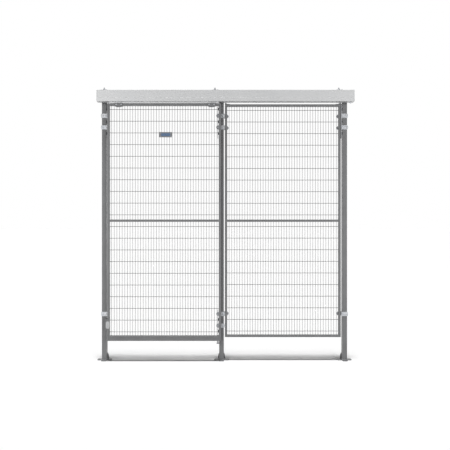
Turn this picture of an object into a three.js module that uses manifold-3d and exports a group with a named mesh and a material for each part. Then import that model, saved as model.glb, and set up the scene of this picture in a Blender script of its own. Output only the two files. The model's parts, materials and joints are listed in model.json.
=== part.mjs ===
// Wire mesh partition with a top-hung sliding door.
// Units are millimetres, +Z is up, the front faces -Y and the door slides towards +X.
// Everything is laid out from the middle post: x = 0 and y = 0 on its axis, z = 0 on the floor.
// The last lines move the whole model so that its origin is the bottom centre of its bounding box.

import * as THREE from 'three';
import { mergeVertices } from 'three/addons/utils/BufferGeometryUtils.js';
import Module from 'manifold-3d';

const wasm = await Module();
wasm.setup();

// ---------------------------------------------------------------- driving dimensions

const seatGap = 0.3; // left between pieces that touch
const sink = 0.5; // how far shapes of one piece run into each other

// posts and the bays between them
const postWidth = 40;
const postDepth = 60;
const postWall = 2;
const postRadius = 4;
const leftPanelGap = 9;
const rightPanelGap = 14; // wide enough for the right rail bracket
const capHeight = 15;
const capPlug = 20;
const capPlugWall = 2;

// fixed panel and door leaf
const panelWidth = 995;
const doorWidth = 970;
const leafHeight = 2000;
const floorGap = 200;
const closingGap = 13.5; // between the closed door and the left post
const doorOverlap = 16.5; // of the closed door over the middle post
const panelSetBack = 3.3; // from the posts' front to the fixed panel's front
const doorStandOff = 7; // from the posts' front to the door's back
const tubeFace = 20;
const tubeDepth = 30;
const tubeWall = 1.5;
const tubeRadius = 2.5;

// welded mesh
const uprightPitch = 22.5;
const crossPitch = 100;
const uprightWire = 3;
const crossWire = 4;
const meshMargin = 14; // least distance from a stile to the first wire
const wireClearance = 0.3; // between wires that cross away from the mesh's edge

// ties on the fixed panel's top corners
const tieLength = 44;
const tieHeight = 13;
const tieThickness = 4;
const tieFootDepth = 20;
const tieFootThickness = 2.5;
const tieShoulder = 6;
const tieHollow = 4; // height that the slope's curve bends towards

// feet
const footThickness = 8;
const footReach = 61; // half length of each arm
const footArm = 22; // half width of each arm
const footRadius = 12;
const footFillet = 5;
const anchorRadius = 6;
const anchorOffset = 46;
const upstandWidth = 64;
const upstandHeight = 50;
const upstandThickness = 5;
const upstandBend = 30; // height where its sides turn in

// clamps
const clampHeight = 36;
const clampThickness = 3;
const clampWall = 3;
const clampWallHeight = 22;
const clampWrapDepth = 26; // how far a wall reaches back beside its post
const clampTip = 12;
const clampTipHeight = 12; // of a tip's blunt end
const clampPanelReach = 10; // plate's reach past the post on the panel's side
const clampPlainReach = 7; // and on a side that holds nothing
const clampTailReach = 12; // tail's reach past the panel's stile
const clampWebGap = 3.5; // from the post to the web that passes to the tail
const clampBoltRadius = 9;
const clampBoltHeight = 2.2;
const clampBoltOffset = 14;
const upperClampDrops = [100, 200]; // below the leaves' tops
const lowerClampRise = 200; // above the leaves' bottoms
const guideClampRise = 100;

// rail
const railClearance = 14; // from the door's top bar to the rail's underside
const railHeight = 96;
const railDepth = 74;
const railOverhangLeft = 31;
const railOverhangRight = 49;
const fasciaThickness = 2.5;
const grooveHeight = 30; // of the fascia's groove above the rail's underside
const grooveWidth = 4;
const grooveDepth = 1;
const trackWall = 3;
const slotWidth = 16;
const endCapThickness = 4;
const endCapRadius = 3;
const endBoltInset = 27;
const endBoltHead = 8;
const endBoltHeadHeight = 11;
const endBoltRadius = 4;
const endBoltWasher = 14;
const endBoltWasherHeight = 4;

// rail brackets
const bracketThickness = 4;
const bracketGap = 9; // from the post's side to the bracket's plate
const bracketDepth = 24;
const bracketDrop = 293; // of the plate below the leaves' tops
const bracketShoulderDrop = 70; // of the place where the plate widens towards the back
const bracketChamfer = 10;
const bracketBackReach = 27; // of the plate behind the rail
const bracketArmHeight = 8;
const bracketArmReach = 60; // of the arm over the rail
const bracketFlangeWidth = 54;
const bracketFlangeDepth = 46;
const tabHeight = 24;
const tabDepth = 4;
const bracketTabDrops = [250, 150, 40];
const railBoltRadius = 4;
const railBoltHole = 4.8;
const railBoltReach = 14;
const railNutRadius = 11;
const railNutHeight = 8;
const railBoltTipRadius = 5;
const railBoltTipHeight = 13;

// trolleys and their wheels
const trolleyInsetLeft = 97.5;
const trolleyInsetRight = 80.5;
const trolleyLength = 90;
const trolleyThickness = 10;
const trolleyHeight = 24;
const trolleyChamfer = 7;
const axleSpacing = 56;
const axleRadius = 4;
const axleClearance = 0.5;
const wheelRadius = 14;
const wheelWidth = 12;
const wheelOffset = 20; // from the track's middle to the middle of a wheel
const wheelChamfer = 1;
const wheelHeadroom = 11.7; // in the track above the wheels
const hubRadius = 7;
const studRadius = 5;
const studNutRadius = 8.5;
const studNutHeight = 6;

// hangers on the door's top bar
const hangerLength = 68;
const hangerPlate = 4;
const hangerDrop = 34;
const hangerSide = 3;
const hangerStraight = 10; // straight part of the apron's ends
const hangerBackDrop = 22;
const studClearance = 1;

// stops in the track
const stopLength = 26;
const stopHeight = 26;
const stopClearance = 0.5;
const bufferRadius = 8;
const bufferLength = 7;

// door's guide channel, top strip and plate
const channelHeight = 24.7;
const channelWall = 2.5;
const stripHeight = 12.2;
const stripThickness = 6;
const stripInset = 20;
const plateLength = 111;
const plateHeight = 45;
const plateThickness = 2;
const plateRadius = 4;
const plateRimWidth = 4;
const plateRimHeight = 0.6;
const plateOffset = 12; // from the door's middle
const plateDrop = 266; // of its middle below the door's top

// floor guide at the middle post
const guidePlateRise = 235; // of the plate's top above the leaves' bottoms
const guideShelfWidth = 22;
const guideArmThickness = 4;
const guideGussetHeight = 30;
const guideTabRises = [50, 150];
const guidePinRadius = 4;
const guideRollerPlay = 1; // on each side in the door's channel
const guideRollerHeight = 16;
const guideRollerChamfer = 1;
const guideBoreClearance = 0.4;
const guideShoulderRadius = 7;
const guideShoulderHeight = 23.9;
const guideRollerTopGap = 3;
const guideEndSpare = 1; // of channel left beyond the roller when the door is open

// catch on the left post
const catchRise = 62; // above the door's bottom
const catchHeight = 100;
const catchThickness = 3;
const catchFrontGap = 5; // from the door's front to the catch's front lip
const catchBackGap = 3;
const catchFrontLip = 30;
const catchBackLip = 20;
const catchPadHeight = 62;
const catchPadThickness = 3;
const catchPadRadius = 12;

// ---------------------------------------------------------------- places worked out from them

const postFront = -postDepth / 2;
const doorwayWidth = doorWidth + closingGap - doorOverlap;
const posts = {
  left: -postWidth - doorwayWidth,
  middle: 0,
  right: postWidth + leftPanelGap + panelWidth + rightPanelGap,
};
const panelLeft = postWidth / 2 + leftPanelGap;
const panelY = postFront + panelSetBack + tubeDepth / 2;
const panelBack = panelY + tubeDepth / 2;
const doorLeft = posts.left + postWidth / 2 + closingGap;
const doorRight = doorLeft + doorWidth;
const doorY = postFront - doorStandOff - tubeDepth / 2;
const doorFront = doorY - tubeDepth / 2;
const doorBack = doorY + tubeDepth / 2;
const leafTop = floorGap + leafHeight;
const channelBottom = floorGap - seatGap - channelHeight;

const railBottom = leafTop + railClearance;
const railTop = railBottom + railHeight;
const railLeft = posts.left - postWidth / 2 - railOverhangLeft;
const railRight = posts.right + postWidth / 2 + railOverhangRight;
const railLength = railRight - railLeft;
const railFront = doorY - railDepth / 2;
const railBack = doorY + railDepth / 2;
const trackFront = railFront + fasciaThickness + seatGap;
const trackTop = railTop - fasciaThickness - seatGap;
const ledgeTop = railBottom + trackWall;
const wheelChamber = seatGap + 2 * wheelRadius + wheelHeadroom;
const capTop = railBottom - seatGap;
const postTop = capTop - capHeight - seatGap;

const wheelZ = ledgeTop + seatGap + wheelRadius;
const trolleyXs = { left: doorLeft + trolleyInsetLeft, right: doorRight - trolleyInsetRight };
const trolleyTop = wheelZ + trolleyHeight / 2;
const trolleyBottom = wheelZ - trolleyHeight / 2;
const hangerTop = leafTop + seatGap + hangerPlate;
const bracketBottom = leafTop - bracketDrop;
const bracketShoulder = leafTop - bracketShoulderDrop;
const bracketFront = postFront;
const bracketBack = postFront + bracketDepth;

// The rail brackets stand beside their posts: 1 is the post's right side, -1 its left side.
const bracketSides = { left: 1, middle: -1, right: -1 };
const bracketX = (post) =>
  posts[post] + bracketSides[post] * (postWidth / 2 + bracketGap + bracketThickness / 2);
const railBoltX = (post) => bracketX(post) + (bracketThickness - bracketFlangeWidth) / 2;

const guideX = bracketX('middle');
const guideTop = floorGap + guidePlateRise;
const guideRollerRadius = tubeDepth / 2 - channelWall - guideRollerPlay;
const rollerTop = floorGap - seatGap - channelWall - guideRollerTopGap;
const rollerBottom = rollerTop - guideRollerHeight;
const shelfTop = rollerBottom - seatGap - guideShoulderHeight;
const guideBottom = shelfTop - guideArmThickness;
const doorTravel = guideX - guideRollerRadius - guideEndSpare - doorLeft;
const catchBottom = floorGap + catchRise;

// ---------------------------------------------------------------- materials

const finish = (color, roughness, metalness) =>
  new THREE.MeshStandardMaterial({ color, roughness, metalness });

const materials = {
  steel: finish(0x7a7d7f, 0.5, 0.2),
  wire: finish(0x85878a, 0.5, 0.2),
  aluminium: finish(0xcfd1d2, 0.4, 0.3),
  zinc: finish(0xc4c7c9, 0.35, 0.7),
  darkPlastic: finish(0x4a4c4e, 0.6, 0),
  palePlastic: finish(0xbfc1c3, 0.55, 0),
  plate: finish(0x5b7598, 0.45, 0),
};

// ---------------------------------------------------------------- solids

const model = new THREE.Group();

function addPiece(name, geometry, material, x = 0, y = 0, z = 0) {
  const mesh = new THREE.Mesh(geometry, material);
  mesh.name = name;
  mesh.position.set(x, y, z);
  model.add(mesh);
}

function toSolid(geometry) {
  const bare = geometry.clone();
  bare.deleteAttribute('normal');
  bare.deleteAttribute('uv');
  const merged = mergeVertices(bare, 1e-4);
  const solid = new wasm.Mesh({
    numProp: 3,
    vertProperties: new Float32Array(merged.attributes.position.array),
    triVerts: new Uint32Array(merged.index.array),
  });
  return new wasm.Manifold(solid);
}

function toGeometry(solid) {
  const { vertProperties, triVerts } = solid.getMesh();
  const geometry = new THREE.BufferGeometry();
  geometry.setAttribute('position', new THREE.BufferAttribute(vertProperties, 3));
  geometry.setIndex(new THREE.BufferAttribute(triVerts, 1));
  geometry.computeVertexNormals();
  return geometry;
}

const join = (first, ...others) =>
  toGeometry(others.reduce((sum, other) => sum.add(toSolid(other)), toSolid(first)));

const cut = (body, ...tools) =>
  toGeometry(tools.reduce((rest, tool) => rest.subtract(toSolid(tool)), toSolid(body)));

// A block between two corners.
function block(x0, x1, y0, y1, z0, z1) {
  const geometry = new THREE.BoxGeometry(x1 - x0, y1 - y0, z1 - z0);
  return geometry.translate((x0 + x1) / 2, (y0 + y1) / 2, (z0 + z1) / 2);
}

function outlineOf(points) {
  return new THREE.Shape(points.map(([u, v]) => new THREE.Vector2(u, v)));
}

function roundedRectangle(width, height, radius) {
  const u = width / 2 - radius;
  const v = height / 2 - radius;
  const shape = new THREE.Shape();
  shape.absarc(u, -v, radius, -Math.PI / 2, 0);
  shape.absarc(u, v, radius, 0, Math.PI / 2);
  shape.absarc(-u, v, radius, Math.PI / 2, Math.PI);
  shape.absarc(-u, -v, radius, Math.PI, 1.5 * Math.PI);
  shape.closePath();
  return shape;
}

function extrude(shape, depth, curveSegments = 3) {
  return new THREE.ExtrudeGeometry(shape, { depth, bevelEnabled: false, curveSegments });
}

// Outline in x and z, thickness from y0 towards +y.
function upright(shape, y0, thickness, curveSegments = 3) {
  return extrude(shape, thickness, curveSegments).rotateX(Math.PI / 2).translate(0, y0 + thickness, 0);
}

// Outline in y and z, length from x0 towards +x.
function alongX(shape, x0, length, curveSegments = 3) {
  const geometry = extrude(shape, length, curveSegments);
  return geometry.rotateX(Math.PI / 2).rotateZ(Math.PI / 2).translate(x0, 0, 0);
}

// A round bar from one height to another, upright at (x, y).
function standingBar(radius, start, end, x, y, segments = 16) {
  const geometry = new THREE.CylinderGeometry(radius, radius, end - start, segments);
  return geometry.rotateX(Math.PI / 2).translate(x, y, (start + end) / 2);
}

// A round bar along y at (x, z).
function depthBar(radius, start, end, x, z, segments = 16) {
  const geometry = new THREE.CylinderGeometry(radius, radius, end - start, segments);
  return geometry.translate(x, (start + end) / 2, z);
}

// A rectangular tube with round corners, open at both ends, standing on z = 0.
function tube(width, depth, wall, radius, length) {
  const section = roundedRectangle(width, depth, radius);
  const innerRadius = Math.max(radius - wall, wall / 2);
  section.holes.push(roundedRectangle(width - 2 * wall, depth - 2 * wall, innerRadius));
  return extrude(section, length, 2);
}

// ---------------------------------------------------------------- posts, caps and feet

// A cross of four round-cornered arms with filleted inner corners.
function footOutline() {
  const shape = new THREE.Shape();
  const tip = footArm - footRadius;
  const reach = footReach - footRadius;
  const corner = footArm + footFillet;
  for (let arm = 0; arm < 4; arm += 1) {
    const turn = (arm * Math.PI) / 2;
    const place = (u, v) => [
      u * Math.cos(turn) - v * Math.sin(turn),
      u * Math.sin(turn) + v * Math.cos(turn),
    ];
    shape.absarc(...place(corner, -corner), footFillet, turn + Math.PI, turn + Math.PI / 2, true);
    shape.absarc(...place(reach, -tip), footRadius, turn - Math.PI / 2, turn);
    shape.absarc(...place(reach, tip), footRadius, turn, turn + Math.PI / 2);
  }
  shape.closePath();
  return shape;
}

// The upstand behind the post is wide at the floor and curves in to the post's width.
function upstandOutline() {
  const low = upstandWidth / 2;
  const high = postWidth / 2;
  const shape = new THREE.Shape();
  shape.moveTo(-low, -sink);
  shape.lineTo(low, -sink);
  shape.quadraticCurveTo(low, upstandBend, high, upstandHeight);
  shape.lineTo(-high, upstandHeight);
  shape.quadraticCurveTo(-low, upstandBend, -low, -sink);
  return shape;
}

function foot() {
  const outline = footOutline();
  for (const x of [-anchorOffset, anchorOffset]) {
    const hole = new THREE.Path();
    hole.absarc(x, 0, anchorRadius, 0, 2 * Math.PI);
    outline.holes.push(hole);
  }
  const plate = extrude(outline, footThickness, 3);
  const upstand = upright(upstandOutline(), postDepth / 2 + seatGap, upstandThickness, 4);
  return join(plate, upstand.translate(0, 0, footThickness));
}

function postCap() {
  const lid = extrude(roundedRectangle(postWidth, postDepth, postRadius), capHeight, 2);
  const slack = 2 * (postWall + seatGap);
  const plug = tube(postWidth - slack, postDepth - slack, capPlugWall, postRadius - postWall, capPlug);
  return join(lid, plug.translate(0, 0, sink - capPlug));
}

for (const [post, x] of Object.entries(posts)) {
  const bottom = footThickness + seatGap;
  const body = tube(postWidth, postDepth, postWall, postRadius, postTop - bottom);
  addPiece(`post_${post}`, body, materials.steel, x, 0, bottom);
  addPiece(`foot_${post}`, foot(), materials.steel, x);
  addPiece(`post_cap_${post}`, postCap(), materials.darkPlastic, x, 0, postTop + seatGap);
}

// ---------------------------------------------------------------- panel and door leaf

// The upright wires lie in front of the cross wires. The wires round the edge are welded
// to all that cross them, which makes the sheet one piece; the others cross just clear.
function wireMesh(innerWidth, innerHeight) {
  const uprightCount = Math.floor((innerWidth - 2 * meshMargin) / uprightPitch) + 1;
  const crossCount = Math.round(leafHeight / crossPitch);
  const firstX = (-uprightPitch * (uprightCount - 1)) / 2;
  const firstZ = (-crossPitch * (crossCount - 1)) / 2;
  const halfWidth = innerWidth / 2 - seatGap;
  const halfHeight = innerHeight / 2 - seatGap;
  const isEdge = (index, count) => index === 0 || index === count - 1;
  const wires = [];
  for (let i = 0; i < uprightCount; i += 1) {
    const x = firstX + i * uprightPitch;
    const back = isEdge(i, uprightCount) ? wireClearance + sink : 0;
    wires.push(block(x - uprightWire / 2, x + uprightWire / 2, -uprightWire, back, -halfHeight, halfHeight));
  }
  for (let k = 0; k < crossCount; k += 1) {
    const z = firstZ + k * crossPitch;
    const front = isEdge(k, crossCount) ? -sink : wireClearance;
    const back = wireClearance + crossWire;
    wires.push(block(-halfWidth, halfWidth, front, back, z - crossWire / 2, z + crossWire / 2));
  }
  return join(...wires);
}

// A frame tube lying along x, its middle at the origin.
function crossTube(length, depth) {
  const lying = tube(tubeFace, depth, tubeWall, tubeRadius, length).rotateY(Math.PI / 2);
  return lying.translate(-length / 2, 0, 0);
}

function addLeaf(prefix, left, width, y) {
  const x = left + width / 2;
  const innerWidth = width - 2 * tubeFace;
  const innerHeight = leafHeight - 2 * tubeFace;
  const middleZ = floorGap + leafHeight / 2;
  const barOffset = (leafHeight - tubeFace) / 2;
  for (const [side, sign] of [['left', -1], ['right', 1]]) {
    const stile = tube(tubeFace, tubeDepth, tubeWall, tubeRadius, innerHeight - 2 * seatGap);
    const stileX = x + (sign * (width - tubeFace)) / 2;
    addPiece(`${prefix}_stile_${side}`, stile, materials.steel, stileX, y, floorGap + tubeFace + seatGap);
  }
  addPiece(`${prefix}_top_bar`, crossTube(width, tubeDepth), materials.steel, x, y, middleZ + barOffset);
  addPiece(`${prefix}_bottom_bar`, crossTube(width, tubeDepth), materials.steel, x, y, middleZ - barOffset);
  const barDepth = tubeDepth / 2 - uprightWire - seatGap;
  const middleBar = crossTube(innerWidth - 2 * seatGap, barDepth);
  const barY = y - (tubeDepth - barDepth) / 2;
  addPiece(`${prefix}_middle_bar`, middleBar, materials.steel, x, barY, middleZ);
  addPiece(`${prefix}_mesh`, wireMesh(innerWidth, innerHeight), materials.wire, x, y, middleZ);
}

addLeaf('panel', panelLeft, panelWidth, panelY);
addLeaf('door', doorLeft, doorWidth, doorY);

// A tie rises with a hollow slope towards the post (side 1: the post is on the right).
function panelTie(side) {
  const slope = new THREE.Shape();
  slope.moveTo(-tieLength, 0);
  slope.lineTo(0, 0);
  slope.lineTo(0, tieHeight);
  slope.lineTo(-tieShoulder, tieHeight);
  slope.quadraticCurveTo(-tieLength / 2, tieHollow, -tieLength, 0);
  const plate = upright(slope, -tieThickness / 2, tieThickness, 4);
  const footHalf = tieFootDepth / 2;
  const tie = join(plate, block(-tieLength, 0, -footHalf, footHalf, 0, tieFootThickness));
  return side > 0 ? tie : tie.rotateZ(Math.PI);
}

const tieZ = leafTop + seatGap;
addPiece('panel_tie_left', panelTie(-1), materials.steel, panelLeft, panelY, tieZ);
addPiece('panel_tie_right', panelTie(1), materials.steel, panelLeft + panelWidth, panelY, tieZ);

// ---------------------------------------------------------------- clamps

// A clamp's two sides are of three kinds:
// plain: the plate ends past the post and a wall reaches back beside it;
// bracket: plate and wall reach round a bracket that stands beside the post;
// panel: a web passes between post and panel to a tail behind the panel's stile.
function clampSide(kind) {
  const face = postWidth / 2;
  if (kind === 'bracket') {
    const wall = face + bracketGap + bracketThickness + seatGap;
    return { reach: wall + clampTip, tip: clampTip, wall, back: bracketBack };
  }
  if (kind === 'panel') {
    const back = panelBack + seatGap + clampThickness;
    return { reach: face + clampPanelReach, tip: 0, wall: face + clampWebGap, back };
  }
  const back = postFront + clampWrapDepth;
  return { reach: face + clampPlainReach, tip: clampPlainReach - clampWall, wall: face + seatGap, back };
}

// Outline of a plate whose right end narrows over the length of its tip.
function tippedPlate(from, to, tip) {
  const half = clampHeight / 2;
  const end = clampTipHeight / 2;
  const points = [[from, -half], [to - tip, -half]];
  if (tip > 0) points.push([to, -end], [to, end]);
  points.push([to - tip, half], [from, half]);
  return outlineOf(points);
}

// The half of a clamp on the post's right side, with its bolt; gap is that beside a panel.
function clampHalf(kind, gap) {
  const side = clampSide(kind);
  const front = postFront - seatGap - clampThickness;
  const half = clampWallHeight / 2;
  const pieces = [
    upright(tippedPlate(-sink, side.reach, side.tip), front, clampThickness),
    block(side.wall, side.wall + clampWall, front + sink, side.back, -half, half),
    depthBar(clampBoltRadius, front - clampBoltHeight, front + sink, clampBoltOffset, 0, 12),
  ];
  if (kind === 'panel') {
    const tailEnd = postWidth / 2 + gap + tubeFace + clampTailReach;
    pieces.push(upright(tippedPlate(side.wall, tailEnd, clampTip), panelBack + seatGap, clampThickness));
  }
  return join(...pieces);
}

// The same shape mirrored in x, its triangles turned to face out again.
function mirrorX(geometry) {
  const mirrored = geometry.clone().scale(-1, 1, 1);
  const index = mirrored.index.array;
  for (let i = 0; i < index.length; i += 3) {
    [index[i], index[i + 1]] = [index[i + 1], index[i]];
  }
  return mirrored;
}

function clamp([leftKind, rightKind], gap) {
  return join(mirrorX(clampHalf(leftKind, gap)), clampHalf(rightKind, gap));
}

const clampPlan = {
  left: { sides: ['plain', 'bracket'], gap: 0 },
  middle: { sides: ['bracket', 'panel'], gap: leftPanelGap },
  right: { sides: ['panel', 'plain'], gap: rightPanelGap },
};

const clampHeights = [...upperClampDrops.map((drop) => leafTop - drop), floorGap + lowerClampRise];
for (const [post, { sides, gap }] of Object.entries(clampPlan)) {
  clampHeights.forEach((z, index) => {
    addPiece(`clamp_${post}_${index + 1}`, clamp(sides, gap), materials.zinc, posts[post], 0, z);
  });
}
const guideClamp = clamp(['bracket', 'plain'], 0);
addPiece('clamp_middle_4', guideClamp, materials.zinc, posts.middle, 0, floorGap + guideClampRise);

// ---------------------------------------------------------------- rail

const boltHoles = (low, high) =>
  Object.keys(posts).map((post) => standingBar(railBoltHole, low, high, railBoltX(post), doorY));

// Folded cover: a tall front with a groove along it and a top that lies on the track.
function railFascia() {
  const inner = railFront + fasciaThickness;
  const grooveZ = railBottom + grooveHeight;
  const section = outlineOf([
    [railFront, railBottom],
    [inner, railBottom],
    [inner, railTop - fasciaThickness],
    [railBack, railTop - fasciaThickness],
    [railBack, railTop],
    [railFront, railTop],
    [railFront, grooveZ + grooveWidth],
    [railFront + grooveDepth, grooveZ + grooveWidth / 2],
    [railFront, grooveZ],
  ]);
  const body = alongX(section, railLeft, railLength);
  return cut(body, ...boltHoles(railTop - 2 * fasciaThickness, railTop + sink));
}

// Track: a hollow beam over an open channel whose two ledges carry the wheels.
function railTrack() {
  const front = trackFront + trackWall;
  const back = railBack - trackWall;
  const slotFront = doorY - slotWidth / 2;
  const slotBack = doorY + slotWidth / 2;
  const chamberTop = ledgeTop + wheelChamber;
  const section = outlineOf([
    [trackFront, railBottom],
    [slotFront, railBottom],
    [slotFront, ledgeTop],
    [front, ledgeTop],
    [front, chamberTop],
    [back, chamberTop],
    [back, ledgeTop],
    [slotBack, ledgeTop],
    [slotBack, railBottom],
    [railBack, railBottom],
    [railBack, trackTop],
    [trackFront, trackTop],
  ]);
  const hollow = outlineOf([
    [front, chamberTop + trackWall],
    [back, chamberTop + trackWall],
    [back, trackTop - trackWall],
    [front, trackTop - trackWall],
  ]);
  section.holes.push(hollow);
  const body = alongX(section, railLeft, railLength);
  return cut(body, ...boltHoles(trackTop - 2 * trackWall, trackTop + sink));
}

addPiece('rail_fascia', railFascia(), materials.aluminium);
addPiece('rail_track', railTrack(), materials.aluminium);

const endCap = () => alongX(roundedRectangle(railDepth, railHeight, endCapRadius), 0, endCapThickness, 2);
const leftCapX = railLeft - seatGap - endCapThickness;
const capZ = (railBottom + railTop) / 2;
addPiece('rail_end_cap_left', endCap(), materials.aluminium, leftCapX, doorY, capZ);
addPiece('rail_end_cap_right', endCap(), materials.aluminium, railRight + seatGap, doorY, capZ);

// Bolt that hangs in the track's slot at its right end, its head below the rail.
function railEndBolt() {
  const headTop = railBottom - seatGap;
  const washerBottom = ledgeTop + seatGap;
  const washerTop = washerBottom + endBoltWasherHeight;
  return join(
    standingBar(endBoltHead, headTop - endBoltHeadHeight, headTop, 0, 0, 6),
    standingBar(endBoltRadius, headTop - sink, washerBottom + sink, 0, 0, 12),
    standingBar(endBoltWasher, washerBottom, washerTop, 0, 0, 12),
  );
}

addPiece('rail_end_bolt', railEndBolt(), materials.zinc, railRight - endBoltInset, doorY);

// ---------------------------------------------------------------- rail brackets

// Plate beside the post that rises behind the rail, with an arm and a flange over the rail,
// tabs against the post, and the bolt that holds the rail to the flange.
function railBracket(post) {
  const half = bracketThickness / 2;
  const behindRail = railBack + seatGap;
  const farBack = behindRail + bracketBackReach;
  const armBottom = railTop + seatGap;
  const armTop = armBottom + bracketArmHeight;
  const armFront = behindRail - bracketArmReach;
  const web = alongX(outlineOf([
    [bracketFront, bracketBottom + bracketChamfer],
    [bracketFront + bracketChamfer, bracketBottom],
    [bracketBack, bracketBottom],
    [bracketBack, bracketShoulder],
    [farBack, bracketShoulder + bracketBackReach],
    [farBack, armTop - bracketChamfer],
    [farBack - bracketChamfer, armTop],
    [armFront, armTop],
    [armFront, armBottom],
    [behindRail, armBottom],
    [behindRail, railBottom - seatGap - bracketChamfer],
    [bracketFront, railBottom - seatGap - 2 * bracketChamfer],
  ]), -half, bracketThickness);
  const flangeTop = armBottom + bracketThickness;
  const flangeHalf = bracketFlangeDepth / 2;
  const flangeLeft = half - bracketFlangeWidth;
  const boltX = railBoltX(post) - bracketX(post);
  const nutTop = flangeTop + railNutHeight;
  const pieces = [
    block(flangeLeft, 0, doorY - flangeHalf, doorY + flangeHalf, armBottom, flangeTop),
    standingBar(railBoltRadius, trackTop - railBoltReach, flangeTop, boltX, doorY, 12),
    standingBar(railNutRadius, flangeTop - sink, nutTop, boltX, doorY, 6),
    standingBar(railBoltTipRadius, nutTop - sink, nutTop + railBoltTipHeight, boltX, doorY, 12),
  ];
  const tabHeights = bracketTabDrops.map((drop) => leafTop - drop);
  return join(web, ...pieces, ...postTabs(-bracketSides[post], tabHeights));
}

// Tabs from a bracket's plate to its post, which lies in the given direction.
function postTabs(direction, heights) {
  const reach = direction * (bracketThickness / 2 + bracketGap - seatGap);
  const y = (bracketFront + bracketBack) / 2;
  return heights.map((z) =>
    block(Math.min(0, reach), Math.max(0, reach), y, y + tabDepth, z - tabHeight / 2, z + tabHeight / 2));
}

for (const post of Object.keys(posts)) {
  addPiece(`rail_bracket_${post}`, railBracket(post), materials.zinc, bracketX(post));
}

// ---------------------------------------------------------------- trolleys, wheels and hangers

// Trolley block with its two axle bores and the stud that goes down through the slot.
function trolley() {
  const half = trolleyLength / 2;
  const side = trolleyThickness / 2;
  const body = upright(outlineOf([
    [-half, trolleyBottom],
    [half, trolleyBottom],
    [half, trolleyTop - trolleyChamfer],
    [half - trolleyChamfer, trolleyTop],
    [-half + trolleyChamfer, trolleyTop],
    [-half, trolleyTop - trolleyChamfer],
  ]), -side, trolleyThickness);
  const nutBottom = hangerTop + seatGap;
  const bores = [-axleSpacing / 2, axleSpacing / 2].map((x) =>
    depthBar(axleRadius + axleClearance, -side - 1, side + 1, x, wheelZ));
  const solid = join(
    body,
    standingBar(studRadius, leafTop + 2 * seatGap, trolleyBottom + sink, 0, 0),
    standingBar(studNutRadius, nutBottom, nutBottom + studNutHeight, 0, 0, 6),
  );
  return cut(solid, ...bores);
}

// Axle with a wheel at each end, turned about y.
function wheelPair() {
  const inner = wheelOffset - wheelWidth / 2;
  const outer = wheelOffset + wheelWidth / 2;
  const hub = trolleyThickness / 2 + axleClearance;
  const half = [
    [axleRadius, hub],
    [hubRadius, hub],
    [hubRadius, inner],
    [wheelRadius - wheelChamfer, inner],
    [wheelRadius, inner + wheelChamfer],
    [wheelRadius, outer - wheelChamfer],
    [wheelRadius - wheelChamfer, outer],
    [0, outer],
  ];
  const other = half.map(([r, y]) => [r, -y]).reverse();
  const profile = [...other, ...half].map(([r, y]) => new THREE.Vector2(r, y));
  return new THREE.LatheGeometry(profile, 16);
}

// Saddle over the door's top bar: an oval apron in front, a short one behind, a plate on top.
function hanger() {
  const half = hangerLength / 2;
  const low = leafTop - hangerDrop;
  const straight = leafTop - hangerStraight;
  const plateBottom = leafTop + seatGap;
  const front = new THREE.Shape();
  front.moveTo(-half, hangerTop);
  front.lineTo(-half, straight);
  front.bezierCurveTo(-half, low, -half / 2, low, 0, low);
  front.bezierCurveTo(half / 2, low, half, low, half, straight);
  front.lineTo(half, hangerTop);
  const inner = tubeDepth / 2 + seatGap;
  const outer = inner + hangerSide;
  const solid = join(
    upright(front, -outer, hangerSide, 8),
    block(-half, half, inner, outer, leafTop - hangerBackDrop, hangerTop),
    block(-half, half, -inner - sink, inner + sink, plateBottom, hangerTop),
  );
  return cut(solid, standingBar(studRadius + studClearance, plateBottom - sink, hangerTop + sink, 0, 0));
}

for (const [side, x] of Object.entries(trolleyXs)) {
  addPiece(`trolley_${side}`, trolley(), materials.zinc, x, doorY);
  addPiece(`hanger_${side}`, hanger(), materials.steel, x, doorY);
  for (const [place, offset] of [['a', -axleSpacing / 2], ['b', axleSpacing / 2]]) {
    addPiece(`wheel_pair_${side}_${place}`, wheelPair(), materials.darkPlastic, x + offset, doorY, wheelZ);
  }
}

// A block that sits in the track with a round buffer towards the trolley, at x = 0.
function trackStop(direction) {
  const front = trackFront + trackWall + seatGap - doorY;
  const back = railBack - trackWall - seatGap - doorY;
  const bottom = ledgeTop + seatGap;
  const near = direction * bufferLength;
  const far = direction * (bufferLength + stopLength);
  const buffer = new THREE.CylinderGeometry(bufferRadius, bufferRadius, bufferLength + sink, 12);
  buffer.rotateZ(Math.PI / 2).translate((direction * (bufferLength + sink)) / 2, 0, wheelZ);
  const body = block(Math.min(near, far), Math.max(near, far), front, back, bottom, bottom + stopHeight);
  return join(body, buffer);
}

const stopReach = trolleyLength / 2 + stopClearance;
const openX = trolleyXs.right + doorTravel + stopReach;
addPiece('track_stop_left', trackStop(-1), materials.darkPlastic, trolleyXs.left - stopReach, doorY);
addPiece('track_stop_right', trackStop(1), materials.darkPlastic, openX, doorY);

// ---------------------------------------------------------------- on the door

// Channel under the door, open below for the guide roller.
function guideChannel() {
  const outer = tubeDepth / 2;
  const inner = outer - channelWall;
  const web = channelHeight - channelWall;
  return alongX(outlineOf([
    [-outer, 0],
    [-inner, 0],
    [-inner, web],
    [inner, web],
    [inner, 0],
    [outer, 0],
    [outer, channelHeight],
    [-outer, channelHeight],
  ]), doorLeft, doorWidth);
}

addPiece('door_guide_channel', guideChannel(), materials.steel, 0, doorY, channelBottom);

// Strip along the front of the top bar, relieved where the hangers pass under it.
function topStrip() {
  const bottom = leafTop + seatGap;
  const body = block(doorLeft + stripInset, doorRight - stripInset, 0, stripThickness, bottom,
    bottom + stripHeight);
  const reach = hangerLength / 2 + seatGap;
  const reliefs = Object.values(trolleyXs).map((x) =>
    block(x - reach, x + reach, -sink, stripThickness + sink, bottom - sink, hangerTop + seatGap));
  return cut(body, ...reliefs);
}

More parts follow.
